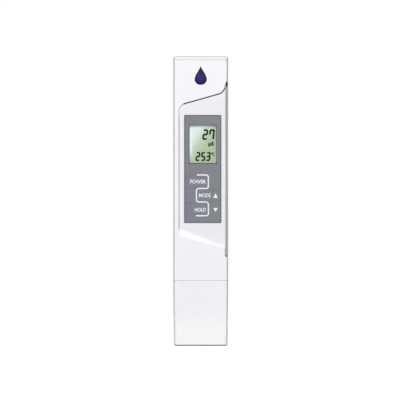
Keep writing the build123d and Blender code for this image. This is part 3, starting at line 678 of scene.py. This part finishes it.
def drop_material(settings):
    """Domed resin drop: indigo in the middle, near black towards its edge."""
    finish = Finish("drop_resin")
    x, _, z = finish.place.axes()
    away = round_mark(x, z, 0.0, DROP_BELLY_Z, DROP_BELLY_HALF_WIDTH, DROP_BELLY_HALF_HEIGHT)
    cloud = finish.place.noise(CLOUD, 2.0)
    return finish.set(
        Base_Color=(away + (cloud - 0.5) * 0.15).step(0.35, 1.2).mix(
            settings.drop, settings.drop_rim
        ),
        Roughness=0.4 + (cloud - 0.5) * 0.1,
        Specular_IOR_Level=0.15,
        Coat_Weight=0.08,
    )


# Helpers for the pieces


def dress(material, *nodes):
    """Give CAD nodes a material in all their slots."""
    for name in nodes:
        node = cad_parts[name]
        if not node.material_slots:
            node.data.materials.append(material)
        for slot in node.material_slots:
            slot.material = material


def clear_selection():
    """Deselect every object, so that an operator acts only on what it adds."""
    if bpy.context.object and bpy.context.object.mode != "OBJECT":
        bpy.ops.object.mode_set(mode="OBJECT")
    bpy.ops.object.select_all(action="DESELECT")


def settle(piece, name, body, material):
    """Name a finished piece, apply its place, and put it on its body."""
    clear_selection()
    piece.select_set(True)
    bpy.context.view_layer.objects.active = piece
    bpy.ops.object.transform_apply(location=True, rotation=True, scale=True)
    piece.name = name
    piece.data.name = name
    piece.data.materials.clear()
    piece.data.materials.append(material)
    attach(piece, body)
    return piece


def to_mesh(piece):
    """Turn a curve or text into a mesh."""
    clear_selection()
    piece.select_set(True)
    bpy.context.view_layer.objects.active = piece
    bpy.ops.object.convert(target="MESH")
    return bpy.context.view_layer.objects.active


def print_text(words, x, z, width, height, front_y, rise, bold=NAME_BOLD):
    """Raised flat lettering on the front, centred at x and z and fitted to a width and height."""
    clear_selection()
    bpy.ops.object.text_add(location=(0, 0, 0))
    piece = bpy.context.object
    piece.data.body = words
    piece.data.size = height
    piece.data.resolution_u = 3
    piece.data.offset = bold
    piece.data.extrude = rise
    piece = to_mesh(piece)
    corners = [vertex.co for vertex in piece.data.vertices]
    low = Vector(min(corner[axis] for corner in corners) for axis in range(3))
    high = Vector(max(corner[axis] for corner in corners) for axis in range(3))
    size = high - low
    centred = Matrix.Translation(-(low + high) / 2)
    fitted = Matrix.Diagonal((width / size[0], height / size[1], 1.0, 1.0))
    upright = Matrix.Rotation(math.radians(90), 4, "X")
    piece.data.transform(Matrix.Translation((x, front_y, z)) @ upright @ fitted @ centred)
    return piece


def print_polygon(sides, x, z, width, height, front_y, rise, turn):
    """Raised flat polygon on the front, such as an arrow head."""
    clear_selection()
    bpy.ops.mesh.primitive_circle_add(
        vertices=sides, radius=0.5, fill_type="NGON", rotation=(math.radians(90), turn, 0)
    )
    piece = bpy.context.object
    bpy.ops.object.transform_apply(location=True, rotation=True, scale=True)
    corners = [vertex.co for vertex in piece.data.vertices]
    low = Vector(min(corner[axis] for corner in corners) for axis in range(3))
    high = Vector(max(corner[axis] for corner in corners) for axis in range(3))
    fitted = Matrix.Diagonal((width / (high[0] - low[0]), 1.0, height / (high[2] - low[2]), 1.0))
    piece.data.transform(fitted @ Matrix.Translation(-(low + high) / 2))
    piece.data.transform(Matrix.Translation((x, front_y, z)))
    bpy.ops.object.mode_set(mode="EDIT")
    bpy.ops.mesh.select_all(action="SELECT")
    bpy.ops.mesh.extrude_region_move(TRANSFORM_OT_translate={"value": (0, -rise, 0)})
    bpy.ops.mesh.select_all(action="SELECT")
    bpy.ops.mesh.normals_make_consistent(inside=False)
    bpy.ops.object.mode_set(mode="OBJECT")
    return piece


def rounded_path(corners, radius, steps=6):
    """Points along a path whose inner corners are arcs."""
    points = [Vector(corners[0])]
    for before, corner, after in zip(corners, corners[1:], corners[2:]):
        corner = Vector(corner)
        into = (Vector(before) - corner).normalized()
        out = (Vector(after) - corner).normalized()
        for step in range(steps + 1):
            share = step / steps * math.pi / 2
            points.append(
                corner
                + into * radius * (1 - math.sin(share))
                + out * radius * (1 - math.cos(share))
            )
    points.append(Vector(corners[-1]))
    return points


SEGMENTS = {
    "top": ((-0.5, 1.0), (0.5, 1.0)),
    "upper_right": ((0.5, 1.0), (0.5, 0.0)),
    "lower_right": ((0.5, 0.0), (0.5, -1.0)),
    "bottom": ((-0.5, -1.0), (0.5, -1.0)),
    "lower_left": ((-0.5, 0.0), (-0.5, -1.0)),
    "upper_left": ((-0.5, 1.0), (-0.5, 0.0)),
    "middle": ((-0.5, 0.0), (0.5, 0.0)),
}
DIGITS = {
    "2": ("top", "upper_right", "middle", "lower_left", "bottom"),
    "3": ("top", "upper_right", "middle", "lower_right", "bottom"),
    "5": ("top", "upper_left", "middle", "lower_right", "bottom"),
    "7": ("upper_left", "top", "upper_right", "lower_right"),
}
DIGIT_SLANT = math.radians(5)


def segment_bar(length, thickness, rise):
    """Display segment along X: a hexagonal bar with pointed ends, centred on the origin."""
    clear_selection()
    bpy.ops.mesh.primitive_circle_add(
        vertices=6,
        radius=thickness / math.sqrt(3),
        fill_type="NGON",
        rotation=(math.radians(90), math.radians(30), 0),
    )
    bar = bpy.context.object
    bpy.ops.object.transform_apply(location=True, rotation=True, scale=True)
    reach = length / 2 - thickness / math.sqrt(3)
    for end in (-1, 1):
        for vertex in bar.data.vertices:
            vertex.select = vertex.co.x * end > 0
        for part in (*bar.data.edges, *bar.data.polygons):
            part.select = False
        bpy.ops.object.mode_set(mode="EDIT")
        bpy.ops.mesh.select_mode(type="VERT")
        bpy.ops.transform.translate(value=(end * reach, 0, 0))
        bpy.ops.object.mode_set(mode="OBJECT")
    bpy.ops.object.mode_set(mode="EDIT")
    bpy.ops.mesh.select_all(action="SELECT")
    bpy.ops.mesh.extrude_region_move(TRANSFORM_OT_translate={"value": (0, -rise, 0)})
    bpy.ops.mesh.select_all(action="SELECT")
    bpy.ops.mesh.normals_make_consistent(inside=False)
    bpy.ops.object.mode_set(mode="OBJECT")
    return bar


def join(pieces):
    """Join pieces into the first one."""
    clear_selection()
    for piece in pieces:
        piece.select_set(True)
    bpy.context.view_layer.objects.active = pieces[0]
    bpy.ops.object.join()
    return bpy.context.view_layer.objects.active


def reading(digits, centres, z, width, height, thickness, front_y, rise):
    """Row of seven-segment digits at the given centres."""
    half = (height - thickness) / 2
    inner = width - thickness
    gap = thickness * 0.14
    slant = Matrix.Identity(4)
    slant[0][2] = math.tan(DIGIT_SLANT)
    bars = {
        "across": segment_bar(inner + thickness * 0.5 - gap, thickness, rise),
        "upright": segment_bar(half + thickness * 0.5 - gap, thickness, rise),
    }
    pieces = []
    for digit, centre in zip(digits, centres):
        for segment in DIGITS[digit]:
            start, end = [Vector((x * inner, 0, level * half)) for x, level in SEGMENTS[segment]]
            upright = abs(end.x - start.x) < abs(end.z - start.z)
            bar = bars["upright" if upright else "across"]
            piece = bpy.data.objects.new(segment, bar.data.copy())
            bpy.context.scene.collection.objects.link(piece)
            turn = Matrix.Rotation(math.radians(90) if upright else 0.0, 4, "Y")
            piece.data.transform(slant @ Matrix.Translation((start + end) / 2) @ turn)
            piece.data.transform(Matrix.Translation((centre, front_y, z)))
            pieces.append(piece)
    for bar in bars.values():
        bpy.data.objects.remove(bar)
    return join(pieces)


# One operator for each piece or group of like pieces


class TESTER_OT_shell(bpy.types.Operator):
    """White plastic of the housing halves, the cap and the battery tray"""

    bl_idname = "tester.shell"
    bl_label = "Shell"

    def execute(self, context):
        material = shell_plastic(context.scene.tester_finish)
        dress(material, "front_housing", "rear_housing", "battery_tray", "cap")
        return {"FINISHED"}


class TESTER_OT_overlay(bpy.types.Operator):
    """Grey film of the overlay and the keys"""

    bl_idname = "tester.overlay"
    bl_label = "Overlay and keys"

    def execute(self, context):
        film = film_material(context.scene.tester_finish, "key_film")
        dress(film, "keypad_overlay", "power_key", "mode_key", "hold_key")
        return {"FINISHED"}


class TESTER_OT_display(bpy.types.Operator):
    """Window, display glasses, reflector, frame and contact strip"""

    bl_idname = "tester.display"
    bl_label = "Display"

    def execute(self, context):
        settings = context.scene.tester_finish
        dress(clear_material("window_sheet", linear("dfeae4"), 0.015, 0.12), "display_window")
        dress(display_material(settings), "lcd_front_glass", "lcd_rear_glass")
        dress(metal_material("reflector_foil", linear("d8dad6"), 0.35), "lcd_reflector")
        _, black = moulded("frame_plastic", linear("2a2b2d"), 0.5)
        dress(black, "lcd_frame")
        dress(rubber_material(settings), "zebra_strip", "tray_seal", "neck_seal")
        return {"FINISHED"}


class TESTER_OT_electronics(bpy.types.Operator):
    """Circuit board, its parts and the key switches"""

    bl_idname = "tester.electronics"
    bl_label = "Electronics"

    def execute(self, context):
        settings = context.scene.tester_finish
        dress(board_material(settings), "circuit_board")
        _, package = moulded("chip_resin", linear("232426"), 0.6, 1.6)
        dress(package, "controller_chip")
        _, switch = moulded("switch_plastic", linear("303134"), 0.55, 1.2)
        _, stem = moulded("stem_plastic", linear("d9d4c4"), 0.5)
        plated = metal_material("plated_steel", settings.steel, 0.3, (1.0, 1.0, 0.1))
        for key in ("power", "mode", "hold"):
            dress(switch, key + "_switch_base")
            dress(stem, key + "_switch_stem")
            dress(plated, key + "_switch_cover")
        dress(plated, "housing_screws", "negative_contact", "positive_contact", "quartz_crystal")
        dress(ceramic_material(), "board_capacitors")
        dress(cell_material(settings), "coin_cell")
        return {"FINISHED"}


class TESTER_OT_probe(bpy.types.Operator):
    """Probe head, electrodes and temperature sensor"""

    bl_idname = "tester.probe"
    bl_label = "Probe"

    def execute(self, context):
        settings = context.scene.tester_finish
        _, head = moulded("probe_plastic", settings.probe, 0.48)
        dress(head, "probe_head")
        pins = metal_material("pin_steel", shade(settings.steel, 0.95), 0.24, (1.0, 1.0, 0.08))
        dress(pins, "electrode_left", "electrode_right", "temperature_sensor")
        return {"FINISHED"}


class TESTER_OT_drop(bpy.types.Operator):
    """Domed water drop above the display"""

    bl_idname = "tester.drop"
    bl_label = "Water drop"

    def execute(self, context):
        marks = context.scene.tester_marks
        half = marks.drop_width / 2
        bottom = DROP_BOTTOM_Z
        tip = bottom + marks.drop_height
        belly = bottom + 0.9 * half
        clear_selection()
        bpy.ops.curve.primitive_bezier_circle_add(radius=half, location=(0, 0, 0))
        outline = bpy.context.object
        outline.data.dimensions = "2D"
        outline.data.fill_mode = "NONE"
        outline.data.resolution_u = 14
        # The circle's points run left, top, right, bottom; each gets its place and its handles
        places = (
            ((-half, belly), (0, -0.5 * half), (0, 0.75 * half)),
            ((0, tip), (-0.12 * half, -0.6 * half), (0.12 * half, -0.6 * half)),
            ((half, belly), (0, 0.75 * half), (0, -0.5 * half)),
            ((0, bottom), (0.55 * half, 0), (-0.55 * half, 0)),
        )
        for point, (place, before, after) in zip(outline.data.splines[0].bezier_points, places):
            point.handle_left_type = "FREE"
            point.handle_right_type = "FREE"
            point.co = (place[0], place[1], 0)
            point.handle_left = (place[0] + before[0], place[1] + before[1], 0)
            point.handle_right = (place[0] + after[0], place[1] + after[1], 0)
        piece = to_mesh(outline)
        piece.data.transform(Matrix.Rotation(math.radians(90), 4, "X"))
        piece.data.transform(Matrix.Translation((0, FRONT_Y + 0.1 * MM, 0)))
        bpy.ops.object.mode_set(mode="EDIT")
        bpy.ops.mesh.select_all(action="SELECT")
        bpy.ops.mesh.remove_doubles(threshold=0.01 * MM)
        bpy.ops.mesh.edge_face_add()
        # Rings of the dome: each narrows towards the belly and stands further out
        ring, level = 1.0, FRONT_Y + 0.1 * MM
        for narrowed in (1.0, 0.97, 0.9, 0.8, 0.65, 0.45, 0.2):
            height = FRONT_Y - marks.drop_dome * (0.15 + 0.85 * math.sqrt(1 - narrowed ** 2))
            bpy.ops.mesh.extrude_region_move(
                TRANSFORM_OT_translate={"value": (0, height - level, 0)}
            )
            bpy.ops.transform.resize(
                value=(narrowed / ring, 1.0, narrowed / ring),
                center_override=(0, height, belly),
            )
            ring, level = narrowed, height
        bpy.ops.mesh.select_all(action="SELECT")
        bpy.ops.mesh.normals_make_consistent(inside=False)
        bpy.ops.mesh.faces_shade_smooth()
        bpy.ops.object.mode_set(mode="OBJECT")
        material = drop_material(context.scene.tester_finish)
        settle(piece, "water_drop", "housing", material)
        return {"FINISHED"}


class TESTER_OT_guide_line(bpy.types.Operator):
    """White line that winds between the keys"""

    bl_idname = "tester.guide_line"
    bl_label = "Guide line"

    def execute(self, context):
        marks = context.scene.tester_marks
        levels = (88.5, 81.5, 74.5, 67.4)
        right, left = 4.0, -2.2
        corners = [
            (-2.0, levels[0]),
            (right, levels[0]),
            (right, levels[1]),
            (left, levels[1]),
            (left, levels[2]),
            (right, levels[2]),
            (right, levels[3]),
            (-2.4, levels[3]),
        ]
        path = rounded_path([(x * MM, 0, z * MM) for x, z in corners], marks.line_radius)
        clear_selection()
        bpy.ops.curve.primitive_bezier_curve_add(location=(0, 0, 0))
        curve = bpy.context.object
        curve.data.splines.clear()
        spline = curve.data.splines.new("POLY")
        spline.points.add(len(path) - 1)
        for point, place in zip(spline.points, path):
            point.co = (*place, 1.0)
        curve.data.dimensions = "3D"
        curve.data.bevel_depth = marks.line_width / 2
        curve.data.bevel_resolution = 2
        curve.data.use_fill_caps = True
        piece = to_mesh(curve)
        flat = Matrix.Diagonal((1.0, 2 * marks.print_height / marks.line_width, 1.0, 1.0))
        piece.data.transform(Matrix.Translation((0, OVERLAY_LOW[1], 0)) @ flat)
        white = ink_material("white_ink", context.scene.tester_finish.print_white, 0.5)
        settle(piece, "guide_line", "housing", white)
        return {"FINISHED"}


class TESTER_OT_key_names(bpy.types.Operator):
    """White names and arrows on the keys and the film"""

    bl_idname = "tester.key_names"
    bl_label = "Key names"

    def execute(self, context):
        marks = context.scene.tester_marks
        white = ink_material("name_ink", context.scene.tester_finish.print_white, 0.5)
        names = (
            ("POWER", "power_button", -1.4, 85.06, 8.1),
            ("MODE", "mode_button", 2.15, 77.96, 6.0),
            ("HOLD", "hold_button", -0.23, 70.5, 5.75),
        )
        for words, body, x, z, width in names:
            piece = print_text(
                words,
                x * MM,
                z * MM,
                width * MM,
                marks.name_height,
                OVERLAY_LOW[1],
                marks.print_height,
            )
            settle(piece, words.lower() + "_name", body, white)
        arrows = (
            ("up_arrow", "mode_button", 7.69, 77.8, 2.33, 2.3, 0.0),
            ("down_arrow", "housing", 7.67, 70.35, 2.28, 2.1, math.pi),
        )
        for name, body, x, z, width, height, turn in arrows:
            piece = print_polygon(
                3,
                x * MM,
                z * MM,
                width * MM,
                height * MM,
                OVERLAY_LOW[1] + marks.print_height,
                2 * marks.print_height,
                turn,
            )
            settle(piece, name, body, white)
        return {"FINISHED"}


class TESTER_OT_reading(bpy.types.Operator):
    """Segments of the display: two readings and their units"""

    bl_idname = "tester.reading"
    bl_label = "Reading"

    def execute(self, context):
        marks = context.scene.tester_marks
        ink = ink_material("segment_ink", context.scene.tester_finish.segment, 0.4)
        front_y = GLASS_FRONT_Y
        upper = reading(
            "27",
            (2.35 * MM, 5.75 * MM),
            UPPER_READING_Z,
            UPPER_DIGIT_WIDTH,
            marks.upper_digit,
            marks.upper_stroke,
            front_y,
            marks.print_height,
        )
        settle(upper, "upper_reading", "housing", ink)
        lower = reading(
            "253",
            (-1.45 * MM, 1.3 * MM, 3.95 * MM),
            LOWER_READING_Z,
            LOWER_DIGIT_WIDTH,
            marks.lower_digit,
            marks.lower_stroke,
            front_y,
            marks.print_height,
        )
        point = print_polygon(
            POINT_SIDES,
            POINT_X,
            POINT_Z,
            POINT_SIZE,
            POINT_SIZE,
            front_y,
            marks.print_height,
            0.0,
        )
        settle(join([lower, point]), "lower_reading", "housing", ink)
        units = (
            ("upper_unit", "µS", 5.4, 104.5, 3.0, 2.6),
            ("lower_unit", "°C", 6.2, 99.4, 1.8, 1.9),
        )
        for name, words, x, z, width, height in units:
            piece = print_text(
                words,
                x * MM,
                z * MM,
                width * MM,
                height * MM,
                front_y,
                marks.print_height,
                UNIT_BOLD,
            )
            settle(piece, name, "housing", ink)
        return {"FINISHED"}


class TESTER_OT_stage(bpy.types.Operator):
    """White floor, plain surroundings, a lamp before and one behind, and the camera"""

    bl_idname = "tester.stage"
    bl_label = "Stage"

    def execute(self, context):
        stage = context.scene.tester_stage
        scene = context.scene
        clear_selection()
        bpy.ops.mesh.primitive_plane_add(size=FLOOR_SIZE, location=(0, 0, 0))
        floor = bpy.context.object
        floor.name = "floor"
        floor.data.materials.append(self.floor_material())

        world = bpy.data.worlds.new("surroundings")
        world.use_nodes = True
        scene.world = world
        tree = world.node_tree
        tree.nodes.clear()
        start = Wire(tree)
        seen = self.seen(start)
        x, _, _ = start.node("ShaderNodeTexCoord", out=0).axes()
        flagged = stage.ambient * (1.0 - abs(x).step(0.45, 0.9) * 0.8)
        plain = start.node(
            "ShaderNodeBackground", None, {"Color": (1, 1, 1, 1), "Strength": flagged}
        )
        white = start.node("ShaderNodeBackground", None, {"Color": (1, 1, 1, 1), "Strength": 1.0})
        sky = start.node("ShaderNodeMixShader", None, {0: seen, 1: plain, 2: white})
        self.output(tree, "ShaderNodeOutputWorld", sky)

        aim = Vector((0, 0, (cad_box[0][2] + cad_box[1][2]) / 2))
        lamps = (
            ("key_lamp", stage.key_power, KEY_LAMP_PLACE),
            ("back_lamp", stage.back_power, BACK_LAMP_PLACE),
        )
        for name, power, place in lamps:
            lamp_data = bpy.data.lights.new(name, "AREA")
            lamp_data.shape = "SQUARE"
            lamp_data.size = LAMP_SIZE
            lamp_data.energy = power
            lamp = bpy.data.objects.new(name, lamp_data)
            lamp.location = place
            lamp.rotation_euler = (aim - lamp.location).to_track_quat("-Z", "Y").to_euler()
            scene.collection.objects.link(lamp)

        camera_data = bpy.data.cameras.new("camera")
        camera_data.lens = stage.lens
        camera_data.sensor_width = 36.0
        camera_data.clip_end = 20.0
        camera = bpy.data.objects.new("camera", camera_data)
        camera.location = (CAMERA_X, FRONT_Y - stage.camera_distance, CAMERA_Z)
        camera.rotation_euler = (math.radians(90), 0, 0)
        scene.collection.objects.link(camera)
        scene.camera = camera
        scene.view_settings.view_transform = "Standard"
        return {"FINISHED"}

    @staticmethod
    def output(tree, kind, shader):
        """Link a shader to an output node."""
        end = tree.nodes.new(kind)
        tree.links.new(shader.socket, end.inputs["Surface"])

    @staticmethod
    def seen(start):
        """1 where the camera, a reflection or clear plastic looks, 0 for other light."""
        rays = start.tree.nodes.new("ShaderNodeLightPath")
        looks = [
            Wire(start.tree, rays.outputs[name])
            for name in ("Is Camera Ray", "Is Glossy Ray", "Is Transmission Ray")
        ]
        return (looks[0] + looks[1] + looks[2]).smaller(1.0)

    def floor_material(self):
        """Floor that looks white, keeps a soft shadow near the tester and throws little light."""
        material = bpy.data.materials.new("white_floor")
        material.use_nodes = True
        tree = material.node_tree
        tree.nodes.clear()
        start = Wire(tree)
        place = start.node("ShaderNodeTexCoord", out=3)
        distance = place.node("ShaderNodeVectorMath", {"operation": "LENGTH"}, {0: place}, out=1)
        far = distance.step(FLOOR_NEAR, FLOOR_FAR)
        speck = place.noise(FLOOR_SPECK, 2.0)
        shadowed = start.node(
            "ShaderNodeBsdfDiffuse",
            None,
            {"Color": speck.mix((0.40, 0.40, 0.40, 1), (0.42, 0.42, 0.42, 1))},
        )
        glowing = {"Color": (1, 1, 1, 1), "Strength": FLOOR_GLOW}
        glow = start.node("ShaderNodeEmission", None, glowing)
        near = start.node("ShaderNodeAddShader", None, {0: shadowed, 1: glow})
        white = start.node("ShaderNodeEmission", None, {"Color": (1, 1, 1, 1), "Strength": 1.0})
        looks = start.node("ShaderNodeMixShader", None, {0: far, 1: near, 2: white})
        thrown = (FLOOR_THROW, FLOOR_THROW, FLOOR_THROW, 1)
        throws = start.node("ShaderNodeBsdfDiffuse", None, {"Color": thrown})
        seen = self.seen(start)
        surface = start.node("ShaderNodeMixShader", None, {0: seen, 1: throws, 2: looks})
        self.output(tree, "ShaderNodeOutputMaterial", surface)
        return material


class TESTER_PT_panel(bpy.types.Panel):
    """Sidebar panel that lists the steps and their settings"""

    bl_idname = "TESTER_PT_panel"
    bl_label = "Water tester"
    bl_space_type = "VIEW_3D"
    bl_region_type = "UI"
    bl_category = "Water tester"

    def draw(self, context):
        for group in ("tester_finish", "tester_marks", "tester_stage"):
            settings = getattr(context.scene, group)
            box = self.layout.box()
            for name in type(settings).__annotations__:
                box.prop(settings, name)
        for operator in STEPS:
            self.layout.operator(operator.bl_idname)


SETTINGS = {
    "tester_finish": FinishSettings,
    "tester_marks": MarkSettings,
    "tester_stage": StageSettings,
}
STEPS = (
    TESTER_OT_shell,
    TESTER_OT_overlay,
    TESTER_OT_display,
    TESTER_OT_electronics,
    TESTER_OT_probe,
    TESTER_OT_drop,
    TESTER_OT_guide_line,
    TESTER_OT_key_names,
    TESTER_OT_reading,
    TESTER_OT_stage,
)


def register():
    for name, group in SETTINGS.items():
        bpy.utils.register_class(group)
        setattr(bpy.types.Scene, name, bpy.props.PointerProperty(type=group))
    for step in STEPS:
        bpy.utils.register_class(step)
    bpy.utils.register_class(TESTER_PT_panel)


def unregister():
    bpy.utils.unregister_class(TESTER_PT_panel)
    for step in reversed(STEPS):
        bpy.utils.unregister_class(step)
    for name, group in reversed(SETTINGS.items()):
        delattr(bpy.types.Scene, name)
        bpy.utils.unregister_class(group)


def main():
    """Register the add-on and run its steps in order."""
    register()
    for step in STEPS:
        getattr(bpy.ops.tester, step.bl_idname.split(".")[1])()


if __name__ == "__main__":
    main()
